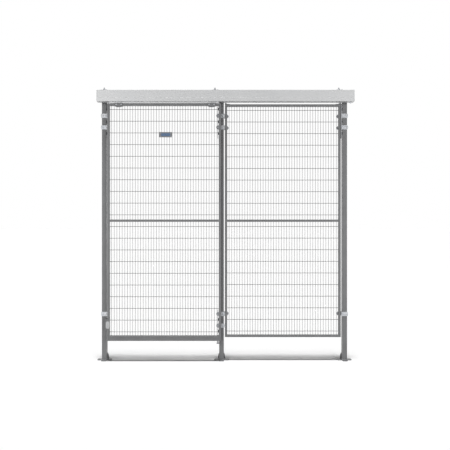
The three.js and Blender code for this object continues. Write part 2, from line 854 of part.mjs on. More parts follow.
addPiece('door_top_strip', topStrip(), materials.aluminium, 0, doorFront);

// Blank plate with a raised rim, fixed to the front of the mesh.
function doorPlate() {
  const outer = roundedRectangle(plateLength, plateHeight, plateRadius);
  const base = upright(outer, -plateThickness, plateThickness);
  const rim = roundedRectangle(plateLength, plateHeight, plateRadius);
  const inset = 2 * plateRimWidth;
  rim.holes.push(roundedRectangle(plateLength - inset, plateHeight - inset, plateRadius / 2));
  return join(base, upright(rim, -plateThickness - plateRimHeight, plateRimHeight + sink));
}

const plateX = (doorLeft + doorRight) / 2 + plateOffset;
const plateY = doorY - uprightWire - seatGap;
addPiece('door_plate', doorPlate(), materials.plate, plateX, plateY, leafTop - plateDrop);

// ---------------------------------------------------------------- floor guide

// Plate held by the two lower clamps, with a shelf that reaches under the door and a pin on it.
function guideBracket() {
  const half = bracketThickness / 2;
  const web = alongX(outlineOf([
    [bracketBack, guideTop],
    [bracketFront, guideTop],
    [bracketFront, guideBottom + guideGussetHeight],
    [doorBack, shelfTop + bracketChamfer],
    [doorFront, shelfTop],
    [doorFront, guideBottom],
    [bracketBack - bracketChamfer, guideBottom],
    [bracketBack, guideBottom + bracketChamfer],
  ]), -half, bracketThickness);
  const shelfHalf = guideShelfWidth / 2;
  return join(
    web,
    block(-shelfHalf, shelfHalf, doorFront, bracketFront - seatGap, guideBottom, shelfTop),
    standingBar(guideShoulderRadius, shelfTop - sink, rollerBottom - seatGap, 0, doorY),
    standingBar(guidePinRadius, rollerBottom - sink, rollerTop + guideRollerTopGap / 2, 0, doorY),
    ...postTabs(1, guideTabRises.map((rise) => floorGap + rise)),
  );
}

function guideRoller() {
  const bore = guidePinRadius + guideBoreClearance;
  const profile = [
    [bore, 0],
    [guideRollerRadius - guideRollerChamfer, 0],
    [guideRollerRadius, guideRollerChamfer],
    [guideRollerRadius, guideRollerHeight - guideRollerChamfer],
    [guideRollerRadius - guideRollerChamfer, guideRollerHeight],
    [bore, guideRollerHeight],
    [bore, 0],
  ];
  const points = profile.map(([r, z]) => new THREE.Vector2(r, z));
  return new THREE.LatheGeometry(points, 16).rotateX(Math.PI / 2);
}

addPiece('guide_bracket', guideBracket(), materials.zinc, guideX);
addPiece('guide_roller', guideRoller(), materials.darkPlastic, guideX, doorY, rollerBottom);

// ---------------------------------------------------------------- catch

// Plate on the left post's side with a lip in front of the door's edge and one behind it.
function catchBracket() {
  const front = doorFront - catchFrontGap;
  const back = doorBack + catchBackGap;
  const section = outlineOf([
    [0, front - catchThickness],
    [catchThickness + catchFrontLip, front - catchThickness],
    [catchThickness + catchFrontLip, front],
    [catchThickness, front],
    [catchThickness, back],
    [catchThickness + catchBackLip, back],
    [catchThickness + catchBackLip, back + catchThickness],
    [catchThickness, back + catchThickness],
    [catchThickness, bracketBack],
    [0, bracketBack],
  ]);
  return extrude(section, catchHeight);
}

const catchX = posts.left + postWidth / 2 + seatGap;
addPiece('catch_bracket', catchBracket(), materials.steel, catchX, 0, catchBottom);

const padY = doorFront - catchFrontGap - catchThickness - seatGap - catchPadThickness;
const padOutline = roundedRectangle(catchFrontLip, catchPadHeight, catchPadRadius);
const pad = upright(padOutline, 0, catchPadThickness, 4);
const padX = catchX + catchThickness + catchFrontLip / 2;
addPiece('catch_plate', pad, materials.palePlastic, padX, padY, catchBottom + catchHeight / 2);

// ---------------------------------------------------------------- origin

const box = new THREE.Box3().setFromObject(model);
const centre = box.getCenter(new THREE.Vector3());
model.position.set(-centre.x, -centre.y, -box.min.z);

export default model;
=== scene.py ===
import json
import math
import random

import bmesh
import bpy
from mathutils import Matrix, Vector


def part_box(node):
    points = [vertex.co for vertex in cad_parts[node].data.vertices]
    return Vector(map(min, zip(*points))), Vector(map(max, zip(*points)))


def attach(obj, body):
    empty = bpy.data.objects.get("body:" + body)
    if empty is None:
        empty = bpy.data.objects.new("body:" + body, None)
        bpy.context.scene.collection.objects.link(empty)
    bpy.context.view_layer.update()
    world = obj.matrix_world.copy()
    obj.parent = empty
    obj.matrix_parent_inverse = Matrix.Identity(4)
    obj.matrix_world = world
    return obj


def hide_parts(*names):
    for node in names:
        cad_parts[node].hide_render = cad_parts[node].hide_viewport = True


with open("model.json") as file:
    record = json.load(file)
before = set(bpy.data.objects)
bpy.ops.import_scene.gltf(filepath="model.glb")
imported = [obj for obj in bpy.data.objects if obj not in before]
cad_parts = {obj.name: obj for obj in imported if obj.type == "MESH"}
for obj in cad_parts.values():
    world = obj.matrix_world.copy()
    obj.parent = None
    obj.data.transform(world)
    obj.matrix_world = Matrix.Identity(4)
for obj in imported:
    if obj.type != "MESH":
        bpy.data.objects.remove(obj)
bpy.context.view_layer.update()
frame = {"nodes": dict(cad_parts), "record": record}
scene = bpy.context.scene
scene.view_settings.view_transform = "Standard"
nodes = frame["nodes"]

POSTS = ("left", "middle", "right")
SIDES = ("left", "right")
LOW, HIGH = 0, 1

# ---------------------------------------------------------------- camera
# Metres. The camera stands level in front of the partition, a little right of the middle post.

CAMERA_X = -0.0017
CAMERA_HEIGHT = 1.163
CAMERA_DISTANCE = 5.378
LENS_MM = 50
SENSOR_MM = 36

camera_data = bpy.data.cameras.new("camera")
camera_data.lens = LENS_MM
camera_data.sensor_width = SENSOR_MM
camera = bpy.data.objects.new("camera", camera_data)
camera.location = (CAMERA_X, -CAMERA_DISTANCE, CAMERA_HEIGHT)
camera.rotation_euler = (math.radians(90), 0, 0)
scene.collection.objects.link(camera)
scene.camera = camera

# ---------------------------------------------------------------- node helpers

# The places of the colour sockets on a Mix node.
MIX_FACTOR, MIX_FIRST, MIX_SECOND, MIX_RESULT = 0, 6, 7, 2


def new_material(name):
    """A node material, its tree and its Principled shader."""
    material = bpy.data.materials.new(name)
    material.use_nodes = True
    tree = material.node_tree
    return material, tree, tree.nodes["Principled BSDF"]


def feed(tree, value, socket):
    """Links another socket to this one, or sets a colour or a number on it."""
    if isinstance(value, bpy.types.NodeSocket):
        tree.links.new(value, socket)
    elif isinstance(value, tuple):
        socket.default_value = (*value, 1)
    else:
        socket.default_value = value


def calculate(tree, operation, *values):
    """A math node over sockets and numbers."""
    node = tree.nodes.new("ShaderNodeMath")
    node.operation = operation
    for value, socket in zip(values, node.inputs):
        feed(tree, value, socket)
    return node.outputs[0]


def ramp(tree, value, stops):
    """The value through a colour ramp with two (position, grey or colour) stops."""
    node = tree.nodes.new("ShaderNodeValToRGB")
    for element, (position, tone) in zip(node.color_ramp.elements, stops):
        rgb = tone if isinstance(tone, tuple) else (tone, tone, tone)
        element.position = position
        element.color = (*rgb, 1)
    tree.links.new(value, node.inputs["Fac"])
    return node.outputs["Color"]


def object_space(tree):
    return tree.nodes.new("ShaderNodeTexCoord").outputs["Object"]


def noise(tree, scale, detail, stretch=(1, 1, 1)):
    """Noise in object space, where a larger stretch makes it finer along that axis."""
    mapping = tree.nodes.new("ShaderNodeMapping")
    mapping.inputs["Scale"].default_value = stretch
    texture = tree.nodes.new("ShaderNodeTexNoise")
    texture.inputs["Scale"].default_value = scale
    texture.inputs["Detail"].default_value = detail
    tree.links.new(object_space(tree), mapping.inputs["Vector"])
    tree.links.new(mapping.outputs["Vector"], texture.inputs["Vector"])
    return texture.outputs["Fac"]


def mix_colours(tree, factor, first, second, blend="MIX"):
    """Mixes two colours or sockets by a number or socket."""
    node = tree.nodes.new("ShaderNodeMix")
    node.data_type = "RGBA"
    node.blend_type = blend
    feed(tree, factor, node.inputs[MIX_FACTOR])
    feed(tree, first, node.inputs[MIX_FIRST])
    feed(tree, second, node.inputs[MIX_SECOND])
    return node.outputs[MIX_RESULT]


def bump(tree, height, depth):
    """The normal of a surface with this height pattern, for a depth in metres."""
    node = tree.nodes.new("ShaderNodeBump")
    node.inputs["Strength"].default_value = 1
    node.inputs["Distance"].default_value = depth
    tree.links.new(height, node.inputs["Height"])
    return node.outputs["Normal"]


def scaled(colour, factor):
    return tuple(c * factor for c in colour)


def tinted(tree, pattern, span, colour, darkest, lightest):
    """The colour, which a pattern varies between two shares of its tone."""
    start, end = span
    return ramp(tree, pattern, [(start, scaled(colour, darkest)), (end, scaled(colour, lightest))])


def glossed(tree, pattern, span, roughness, smoother, rougher):
    """The roughness, which a pattern varies by two amounts."""
    start, end = span
    return ramp(tree, pattern, [(start, roughness - smoother), (end, roughness + rougher)])


def clouded(tree, colour, scale, detail, span, shade):
    """The colour with soft clouds of a slight shade over it."""
    start, end = span
    clouds = ramp(tree, noise(tree, scale, detail), [(start, shade), (end, (1, 1, 1))])
    return mix_colours(tree, 1.0, colour, clouds, "MULTIPLY")


def dress(tree, shader, colour, gloss, normal):
    """Gives the shader its varied colour and roughness, and its fine relief."""
    tree.links.new(colour, shader.inputs["Base Color"])
    tree.links.new(gloss, shader.inputs["Roughness"])
    tree.links.new(normal, shader.inputs["Normal"])


# ---------------------------------------------------------------- materials

def powder_coat(name, colour, roughness):
    """Satin powder coat: orange peel, a faint mottle and slightly uneven gloss."""
    material, tree, shader = new_material(name)
    mottle = tinted(tree, noise(tree, scale=9, detail=4), (0.35, 0.65), colour,
                    darkest=0.93, lightest=1.06)
    gloss = glossed(tree, noise(tree, scale=30, detail=3), (0.3, 0.7), roughness,
                    smoother=0.05, rougher=0.08)
    peel = bump(tree, noise(tree, scale=700, detail=2), depth=0.00003)
    dress(tree, shader, mottle, gloss, peel)
    shader.inputs["Specular IOR Level"].default_value = 0.45
    return material


def brushed_metal(name, colour, stretch, roughness, metallic, grain):
    """Metal with a grain that runs along the axis with the smallest stretch."""
    material, tree, shader = new_material(name)
    lines = noise(tree, scale=700, detail=3, stretch=stretch)
    tint = tinted(tree, lines, (0.3, 0.7), colour, darkest=1 - grain, lightest=1 + grain)
    tint = clouded(tree, tint, scale=4, detail=3, span=(0.3, 0.7), shade=(0.965, 0.97, 0.975))
    gloss = glossed(tree, lines, (0.3, 0.7), roughness, smoother=0.05, rougher=0.07)
    dress(tree, shader, tint, gloss, bump(tree, lines, depth=0.00002))
    shader.inputs["Metallic"].default_value = metallic
    return material


def zinc_plate(name, colour, roughness):
    """Bright zinc: fine crystal cells with a clouded, slightly blue tone."""
    material, tree, shader = new_material(name)
    cells = tree.nodes.new("ShaderNodeTexVoronoi")
    cells.inputs["Scale"].default_value = 160
    tree.links.new(object_space(tree), cells.inputs["Vector"])
    tint = tinted(tree, cells.outputs["Color"], (0.0, 1.0), colour, darkest=0.94, lightest=1.05)
    tint = clouded(tree, tint, scale=25, detail=4, span=(0.35, 0.65), shade=(0.92, 0.94, 0.97))
    gloss = glossed(tree, cells.outputs["Distance"], (0.0, 1.0), roughness,
                    smoother=0.06, rougher=0.08)
    dress(tree, shader, tint, gloss, bump(tree, noise(tree, scale=350, detail=2), depth=0.00004))
    shader.inputs["Metallic"].default_value = 0.75
    return material


def moulded_plastic(name, colour, roughness):
    """Moulded plastic with a fine spark-eroded grain."""
    material, tree, shader = new_material(name)
    tone = tinted(tree, noise(tree, scale=18, detail=3), (0.3, 0.7), colour,
                  darkest=0.94, lightest=1.06)
    gloss = glossed(tree, noise(tree, scale=60, detail=2), (0.3, 0.7), roughness,
                    smoother=0.05, rougher=0.05)
    grain = bump(tree, noise(tree, scale=900, detail=2), depth=0.00004)
    dress(tree, shader, tone, gloss, grain)
    return material


def framed_plate(name, node, field, border, border_sides, border_ends):
    """Satin plastic whose middle field has its own colour inside a plain border."""
    material = moulded_plastic(name, field, roughness=0.4)
    tree = material.node_tree
    low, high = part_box(node)
    split = tree.nodes.new("ShaderNodeSeparateXYZ")
    tree.links.new(object_space(tree), split.inputs[0])
    beyond = []
    for axis, margin in ((0, border_ends), (2, border_sides)):
        middle = (low[axis] + high[axis]) / 2
        reach = (high[axis] - low[axis]) / 2 - margin
        offset = calculate(tree, "SUBTRACT", split.outputs[axis], middle)
        distance = calculate(tree, "ABSOLUTE", offset)
        beyond.append(calculate(tree, "GREATER_THAN", distance, reach))
    in_border = calculate(tree, "MAXIMUM", *beyond)
    colour = tree.nodes["Principled BSDF"].inputs["Base Color"]
    plain = colour.links[0].from_socket
    tree.links.new(mix_colours(tree, in_border, plain, border), colour)
    return material


def paint(obj, material):
    obj.data.materials.clear()
    obj.data.materials.append(material)


STEEL = powder_coat("steel_coat", (0.166, 0.168, 0.172), roughness=0.36)
WIRE = powder_coat("wire_coat", (0.098, 0.0995, 0.102), roughness=0.42)
ALUMINIUM = brushed_metal("rail_anodised", (0.555, 0.558, 0.561), stretch=(0.01, 1, 1),
                          roughness=0.42, metallic=0.35, grain=0.012)
CAP_METAL = brushed_metal("end_cap_anodised", (0.51, 0.513, 0.517), stretch=(1, 0.05, 1),
                          roughness=0.42, metallic=0.35, grain=0.02)
ZINC = zinc_plate("zinc_plate", (0.455, 0.462, 0.474), roughness=0.34)
# The brackets' zinc is a darker copy of the clamps' zinc. Its darkness is painted shade, standing
# in for the shadow around the brackets.
SHADED_BRACKET_ZINC = zinc_plate("bracket_zinc_painted_shade", (0.26, 0.264, 0.272), roughness=0.4)
DARK_PLASTIC = moulded_plastic("dark_plastic", (0.07, 0.072, 0.075), roughness=0.55)
PALE_PLASTIC = moulded_plastic("pale_plastic", (0.45, 0.455, 0.46), roughness=0.5)
PLATE = framed_plate("plate_blue", "door_plate", field=(0.09, 0.15, 0.255),
                     border=(0.205, 0.208, 0.218), border_sides=0.010, border_ends=0.017)

by_slot = {
    "steel": STEEL,
    "wire": WIRE,
    "aluminium": ALUMINIUM,
    "zinc": ZINC,
    "dark_plastic": DARK_PLASTIC,
    "pale_plastic": PALE_PLASTIC,
    "plate": PLATE,
}

for entry in frame["record"]["subparts"]:
    paint(nodes[entry["node"]], by_slot[entry["material_slot"]])
for side in SIDES:
    paint(nodes[f"rail_end_cap_{side}"], CAP_METAL)
# The rail brackets and the guide bracket get the darker zinc, which paints shade on them.
for post in POSTS:
    paint(nodes[f"rail_bracket_{post}"], SHADED_BRACKET_ZINC)
paint(nodes["guide_bracket"], SHADED_BRACKET_ZINC)

# ---------------------------------------------------------------- mesh helpers
# Pieces are laid out in millimetres, in the CAD's frame, and scaled to metres as they are made.

MM = 0.001
FRONT, UP, DOWN = (0, -1, 0), (0, 0, 1), (0, 0, -1)
LEFT, RIGHT = (-1, 0, 0), (1, 0, 0)
dice = random.Random(7)


def box_mm(node):
    low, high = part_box(node)
    return [value / MM for value in low], [value / MM for value in high]


def centre_of(low, high):
    return [(a + b) / 2 for a, b in zip(low, high)]


def facing(axis, place):
    """Turns local z to the axis and moves the origin to the place."""
    turn = Vector(axis).to_track_quat("Z", "Y").to_matrix().to_4x4()
    return Matrix.Translation(Vector(place)) @ turn


def skin(bm, rings, closed):
    """Joins rings of vertices into a tube, with a face over each end unless it is closed."""
    pairs = list(zip(rings, rings[1:]))
    if closed:
        pairs.append((rings[-1], rings[0]))
    count = len(rings[0])
    for first, second in pairs:
        for step in range(count):
            after = (step + 1) % count
            bm.faces.new((first[step], first[after], second[after], second[step]))
    if not closed:
        bm.faces.new(list(reversed(rings[0])))
        bm.faces.new(rings[-1])


def lathe(bm, profile, place, segments, ring=False):
    """Turns (radius, height) points about local z; a third entry makes that ring hexagonal."""
    sixth = math.pi / 3
    rings = []
    for radius, height, *hexagonal in profile:
        loop = []
        for step in range(segments):
            angle = 2 * math.pi * step / segments
            reach = radius
            if hexagonal:
                reach *= math.cos(sixth / 2) / math.cos(angle % sixth - sixth / 2)
            point = Vector((reach * math.cos(angle), reach * math.sin(angle), height))
            loop.append(bm.verts.new(place @ point))
        rings.append(loop)
    skin(bm, rings, ring)


BEAD_SIDES = 8
RIPPLE = 1.6  # from one ripple to the next
RIPPLE_CREST, RIPPLE_TROUGH, BEAD_END = 1.06, 0.88, 0.55  # shares of the bead's radius
RIPPLE_SPREAD = (0.95, 1.05)  # how uneven the ripples are
STEEP = 0.5  # the z of a tangent, above which a bead counts as upright


def bead(bm, points, radius, closed=False):
    """A weld bead along evenly spaced points, with overlapping ripples."""
    count = len(points)
    turns = [2 * math.pi * side / BEAD_SIDES for side in range(BEAD_SIDES)]
    rings = []
    for index, point in enumerate(points):
        ahead = points[(index + 1) % count] if closed or index < count - 1 else point
        behind = points[index - 1] if closed or index > 0 else point
        tangent = (Vector(ahead) - Vector(behind)).normalized()
        if abs(tangent.z) > STEEP:
            across = tangent.orthogonal().normalized()
        else:
            across = tangent.cross(Vector(UP))
        over = tangent.cross(across)
        share = RIPPLE_CREST if index % 2 else RIPPLE_TROUGH
        size = radius * share * dice.uniform(*RIPPLE_SPREAD)
        if not closed and index in (0, count - 1):
            size *= BEAD_END
        rings.append([
            bm.verts.new(Vector(point) + size * (math.cos(turn) * across + math.sin(turn) * over))
            for turn in turns])
    skin(bm, rings, closed)


def straight_bead(bm, start, end, radius):
    start, end = Vector(start), Vector(end)
    steps = max(3, round((end - start).length / RIPPLE))
    bead(bm, [start.lerp(end, step / steps) for step in range(steps + 1)], radius)


CREASE = 38  # degrees; a sharper edge stays crisp


def make_piece(name, bm, material, body, crease=CREASE):
    """Turns the filled bmesh into a piece with smooth faces and crisp edges."""
    bmesh.ops.recalc_face_normals(bm, faces=bm.faces)
    bmesh.ops.scale(bm, vec=(MM, MM, MM), verts=bm.verts)
    mesh = bpy.data.meshes.new(name)
    bm.to_mesh(mesh)
    bm.free()
    mesh.polygons.foreach_set("use_smooth", [True] * len(mesh.polygons))
    mesh.set_sharp_from_angle(angle=math.radians(crease))
    mesh.materials.append(material)
    piece = bpy.data.objects.new(name, mesh)
    scene.collection.objects.link(piece)
    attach(piece, body)
    return piece


# ---------------------------------------------------------------- welded mesh

UPRIGHT_PITCH, CROSS_PITCH = 22.5, 100
UPRIGHT_RADIUS, CROSS_RADIUS = 1.5, 2
EDGE_MARGIN = 14
CROSS_COUNT = 20
WIRE_CHAMFER, WIRE_TIP = 0.5, 0.7  # the chamfer's length, and its end as a share of the radius
WIRE_SEGMENTS, NUGGET_SEGMENTS = 10, 6
WIRE_CREASE = 50
WELD_NUGGET = [(0.9, -1.0), (1.9, -0.3), (1.9, 0.3), (0.9, 1.0)]
WIRE_END_WELD = [(1.2, -0.3), (2.7, 0.2), (2.2, 1.6), (1.5, 2.4)]


def drawn_wire(bm, start, end, radius):
    length = (Vector(end) - Vector(start)).length
    profile = [(WIRE_TIP * radius, 0), (radius, WIRE_CHAMFER),
               (radius, length - WIRE_CHAMFER), (WIRE_TIP * radius, length)]
    lathe(bm, profile, facing(Vector(end) - Vector(start), start), WIRE_SEGMENTS)


def end_weld(bm, inward, place):
    lathe(bm, WIRE_END_WELD, facing(inward, place), WIRE_SEGMENTS)


def mesh_sheet(leaf, body):
    """Round wires where the node has them, with a weld at each crossing and each wire's end."""
    (x0, y0, z0), (x1, y1, z1) = box_mm(f"{leaf}_mesh")
    upright_y, cross_y = y0 + UPRIGHT_RADIUS, y1 - CROSS_RADIUS
    upright_count = math.floor((x1 - x0 - 2 * EDGE_MARGIN) / UPRIGHT_PITCH) + 1
    first_x = (x0 + x1 - UPRIGHT_PITCH * (upright_count - 1)) / 2
    first_z = (z0 + z1 - CROSS_PITCH * (CROSS_COUNT - 1)) / 2
    columns = [first_x + UPRIGHT_PITCH * step for step in range(upright_count)]
    rows = [first_z + CROSS_PITCH * step for step in range(CROSS_COUNT)]
    bm = bmesh.new()
    for x in columns:
        drawn_wire(bm, (x, upright_y, z0), (x, upright_y, z1), UPRIGHT_RADIUS)
        end_weld(bm, UP, (x, upright_y, z0))
        end_weld(bm, DOWN, (x, upright_y, z1))
    for z in rows:
        drawn_wire(bm, (x0, cross_y, z), (x1, cross_y, z), CROSS_RADIUS)
        end_weld(bm, RIGHT, (x0, cross_y, z))
        end_weld(bm, LEFT, (x1, cross_y, z))
    seam_y = (upright_y + UPRIGHT_RADIUS + cross_y - CROSS_RADIUS) / 2
    for x in columns:
        for z in rows:
            lathe(bm, WELD_NUGGET, facing(FRONT, (x, seam_y, z)), NUGGET_SEGMENTS)
    sheet = make_piece(f"{leaf}_wires", bm, WIRE, body, WIRE_CREASE)
    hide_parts(f"{leaf}_mesh")


mesh_sheet("door", "door")
mesh_sheet("panel", "frame")

# ---------------------------------------------------------------- weld beads

SEAM_RADIUS, FILLET_RADIUS = 1.1, 2.2
SEAM_INSET, FILLET_INSET = 2, 3
MIDDLE_FRONT_INSET, MIDDLE_BACK_INSET = 2, 1


def leaf_welds(leaf, body):
    """Seams on the frame's faces and fillets in its inner corners."""
    bm = bmesh.new()
    for side, inner in (("left", HIGH), ("right", LOW)):
        low, high = stile = box_mm(f"{leaf}_stile_{side}")
        inner_x = stile[inner][0]
        for bar, face in (("top_bar", LOW), ("bottom_bar", HIGH)):
            bar_z = box_mm(f"{leaf}_{bar}")[face][2]
            for y in (low[1], high[1]):
                straight_bead(bm, (low[0] + SEAM_INSET, y, bar_z),
                              (high[0] - SEAM_INSET, y, bar_z), SEAM_RADIUS)
            straight_bead(bm, (inner_x, low[1] + FILLET_INSET, bar_z),
                          (inner_x, high[1] - FILLET_INSET, bar_z), FILLET_RADIUS)
        middle_low, middle_high = box_mm(f"{leaf}_middle_bar")
        for z in (middle_low[2], middle_high[2]):
            straight_bead(bm, (inner_x, middle_low[1] + MIDDLE_FRONT_INSET, z),
                          (inner_x, middle_high[1] - MIDDLE_BACK_INSET, z), SEAM_RADIUS)
    make_piece(f"{leaf}_welds", bm, STEEL, body)


leaf_welds("door", "door")
leaf_welds("panel", "frame")

POST_RADIUS = 4
CORNER_TURNS = (0, 30, 60, 90)
UPSTAND_INSET, UPSTAND_GAP = 3, 1.2


def post_weld(post):
    """A bead round the post where it stands on its foot, and one over the foot's upstand."""
    (x0, y0, z0), (x1, y1, _) = box_mm(f"post_{post}")
    corners = ((x1, y0, -90), (x1, y1, 0), (x0, y1, 90), (x0, y0, 180))
    points = []
    for x, y, start in corners:
        centre_x = x - math.copysign(POST_RADIUS, x - (x0 + x1) / 2)
        centre_y = y - math.copysign(POST_RADIUS, y - (y0 + y1) / 2)
        for turn in CORNER_TURNS:
            angle = math.radians(start + turn)
            points.append((centre_x + POST_RADIUS * math.cos(angle),
                           centre_y + POST_RADIUS * math.sin(angle), z0))
    spaced = []
    for first, second in zip(points, points[1:] + points[:1]):
        first, second = Vector(first), Vector(second)
        steps = max(1, round((second - first).length / RIPPLE))
        spaced += [first.lerp(second, step / steps) for step in range(steps)]
    bm = bmesh.new()
    bead(bm, spaced, FILLET_RADIUS, closed=True)
    foot_top = box_mm(f"foot_{post}")[HIGH][2]
    upstand_y = y1 + UPSTAND_GAP
    straight_bead(bm, (x0 + UPSTAND_INSET, upstand_y, foot_top),
                  (x1 - UPSTAND_INSET, upstand_y, foot_top), FILLET_RADIUS)
    make_piece(f"post_weld_{post}", bm, STEEL, "frame")


for post in POSTS:
    post_weld(post)

# ---------------------------------------------------------------- screws, washers and threads

COARSE, MEDIUM, FINE = 24, 30, 36  # segments of a small, a middling and a large turned shape


def button_head(radius, height, socket):
    """A low dome with a hexagonal socket that goes down to its seat."""
    return [(radius, 0), (radius, 0.3 * height), (0.93 * radius, 0.66 * height),
            (0.76 * radius, 0.9 * height), (0.6 * radius, height), (1.1 * socket, height),
            (socket, 0.9 * height, True), (socket, 0.06, True)]


def washer(inner, outer, height):
    return [(inner, 0), (outer, 0), (outer, 0.8 * height), (outer - 0.3, height), (inner, height)]


def thread(core, crest, length, pitch):
    """A stack of thread ridges that ends in a chamfer."""
    profile = [(core, 0)]
    for turn in range(int(length / pitch) - 1):
        profile += [(crest, (turn + 0.5) * pitch), (core, (turn + 1) * pitch)]
    return profile + [(crest - 0.2, length - pitch), (0.75 * core, length)]


# Two screws on the front of each clamp.
CLAMP_BOLT_OFFSET = 14
CLAMP_HEAD = button_head(radius=8.2, height=1.2, socket=3.6)
CLAMP_NUMBERS = {"left": 3, "middle": 4, "right": 3}

for post, clamp_count in CLAMP_NUMBERS.items():
    post_x = centre_of(*box_mm(f"post_{post}"))[0]
    heads = bmesh.new()
    for number in range(1, clamp_count + 1):
        clamp_low, clamp_high = box_mm(f"clamp_{post}_{number}")
        clamp_z = centre_of(clamp_low, clamp_high)[2]
        for offset in (-CLAMP_BOLT_OFFSET, CLAMP_BOLT_OFFSET):
            place = (post_x + offset, clamp_low[1], clamp_z)
            lathe(heads, CLAMP_HEAD, facing(FRONT, place), FINE)
    make_piece(f"clamp_screws_{post}", heads, ZINC, "frame")

# The bolt over each rail bracket: washer, locking collar and thread.
RAIL_BOLT_TIP, RAIL_NUT_HEIGHT, FLANGE_WIDTH = 13, 8, 54
COLLAR_HEIGHT, TIP_CLEARANCE = 3, 0.2
RAIL_WASHER = washer(inner=9.4, outer=16, height=2)
COLLAR = [(8.9, 0), (8.9, 1.2), (7.6, COLLAR_HEIGHT), (5, COLLAR_HEIGHT)]
RAIL_THREAD = thread(core=5.05, crest=5.9, pitch=1.5,
                     length=RAIL_BOLT_TIP - COLLAR_HEIGHT - TIP_CLEARANCE)

bolt_y = centre_of(*box_mm("rail_fascia"))[1]
for post in POSTS:
    bracket_low, bracket_high = box_mm(f"rail_bracket_{post}")
    bolt_x = bracket_low[0] + FLANGE_WIDTH / 2
    nut_top = bracket_high[2] - RAIL_BOLT_TIP
    hardware = bmesh.new()
    washer_place = facing(UP, (bolt_x, bolt_y, nut_top - RAIL_NUT_HEIGHT))
    lathe(hardware, RAIL_WASHER, washer_place, FINE, ring=True)
    lathe(hardware, COLLAR, facing(UP, (bolt_x, bolt_y, nut_top)), FINE)
    lathe(hardware, RAIL_THREAD, facing(UP, (bolt_x, bolt_y, nut_top + COLLAR_HEIGHT)), COARSE)
    make_piece(f"rail_bolt_{post}", hardware, ZINC, "frame")

# Screws on the hangers' fronts, and a washer under each hanger's stud nut.
HANGER_SCREW_OFFSET, HANGER_SCREW_RISE = 21, 26
HANGER_HEAD = button_head(radius=5, height=2.6, socket=2)
STUD_WASHER = washer(inner=5.6, outer=12, height=0.25)

for side in SIDES:
    hanger_low, hanger_high = box_mm(f"hanger_{side}")
    middle_x, middle_y, _ = centre_of(hanger_low, hanger_high)
    hardware = bmesh.new()
    for offset in (-HANGER_SCREW_OFFSET, HANGER_SCREW_OFFSET):
        place = (middle_x + offset, hanger_low[1], hanger_low[2] + HANGER_SCREW_RISE)
        lathe(hardware, HANGER_HEAD, facing(FRONT, place), MEDIUM)
    lathe(hardware, STUD_WASHER, facing(UP, (middle_x, middle_y, hanger_high[2])), FINE, ring=True)
    make_piece(f"hanger_screws_{side}", hardware, ZINC, "door")

# Screws on the foot of each tie.
TIE_FOOT_THICKNESS, TIE_SCREW_OFFSET, TIE_SCREW_PLACES = 2.5, 6, (10, 34)
TIE_HEAD = button_head(radius=3.2, height=1.8, socket=1.3)

for side in SIDES:
    tie_low, tie_high = box_mm(f"panel_tie_{side}")
    tie_y = centre_of(tie_low, tie_high)[1]
    foot_z = tie_low[2] + TIE_FOOT_THICKNESS
    screws = bmesh.new()
    for along in TIE_SCREW_PLACES:
        for across in (-TIE_SCREW_OFFSET, TIE_SCREW_OFFSET):
            place = (tie_low[0] + along, tie_y + across, foot_z)
            lathe(screws, TIE_HEAD, facing(UP, place), COARSE)
    make_piece(f"tie_screws_{side}", screws, ZINC, "frame")

# Rivets in the corners of the door's plate.
RIVET = [(2.8, 0), (2.7, 0.5), (2.1, 1.0), (1.3, 1.2), (1.1, 0.8)]
RIVET_INSET, PLATE_RIM_HEIGHT = 9, 0.6

plate_low, plate_high = box_mm("door_plate")
rivet_y = plate_low[1] + PLATE_RIM_HEIGHT
rivets = bmesh.new()
for rivet_x in (plate_low[0] + RIVET_INSET, plate_high[0] - RIVET_INSET):
    for rivet_z in (plate_low[2] + RIVET_INSET, plate_high[2] - RIVET_INSET):
        lathe(rivets, RIVET, facing(FRONT, (rivet_x, rivet_y, rivet_z)), COARSE)
make_piece("plate_rivets", rivets, ZINC, "door")

# Two screws that hold the catch's pad.
PAD_SCREW_INSET = 14
PAD_HEAD = button_head(radius=4.4, height=1.8, socket=1.7)

pad_low, pad_high = box_mm("catch_plate")
pad_x = centre_of(pad_low, pad_high)[0]
pad_screws = bmesh.new()
for pad_z in (pad_low[2] + PAD_SCREW_INSET, pad_high[2] - PAD_SCREW_INSET):
    lathe(pad_screws, PAD_HEAD, facing(FRONT, (pad_x, pad_low[1], pad_z)), MEDIUM)
make_piece("catch_screws", pad_screws, ZINC, "frame")

# ---------------------------------------------------------------- wheels and roller

WHEEL_SEGMENTS = 48
# From the middle of the axle out to one side; the other half of a pair is its mirror image.
WHEEL_HALF = [(4, 5.5), (7, 5.5), (7.3, 13.2), (8.2, 14), (11, 14), (11.6, 14.6), (13.3, 14.6),
              (14, 15.6), (14, 18.6), (13.4, 19.2), (13.4, 20.8), (14, 21.4), (14, 24.6),
              (13.2, 25.6), (11, 25.6), (10.4, 25), (6.4, 25), (6, 25.8), (2.2, 26), (1.6, 25.4)]
WHEEL_PAIR = [(radius, -height) for radius, height in reversed(WHEEL_HALF)] + WHEEL_HALF

for side in SIDES:
    for letter in ("a", "b"):
        node = f"wheel_pair_{side}_{letter}"
        body = f"wheels_{side}_{letter}"
        pair = bmesh.new()
        lathe(pair, WHEEL_PAIR, facing(FRONT, centre_of(*box_mm(node))), WHEEL_SEGMENTS)
        wheels = make_piece(f"{body}_turned", pair, DARK_PLASTIC, body)
        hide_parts(node)

ROLLER = [(4.4, 0), (9.8, 0), (10.2, 0.5), (10.8, 0.5), (11.5, 1.3), (11.5, 6.6), (10.9, 7.2),
          (10.9, 8.8), (11.5, 9.4), (11.5, 14.7), (10.8, 15.5), (10.2, 15.5), (9.8, 16), (4.4, 16)]

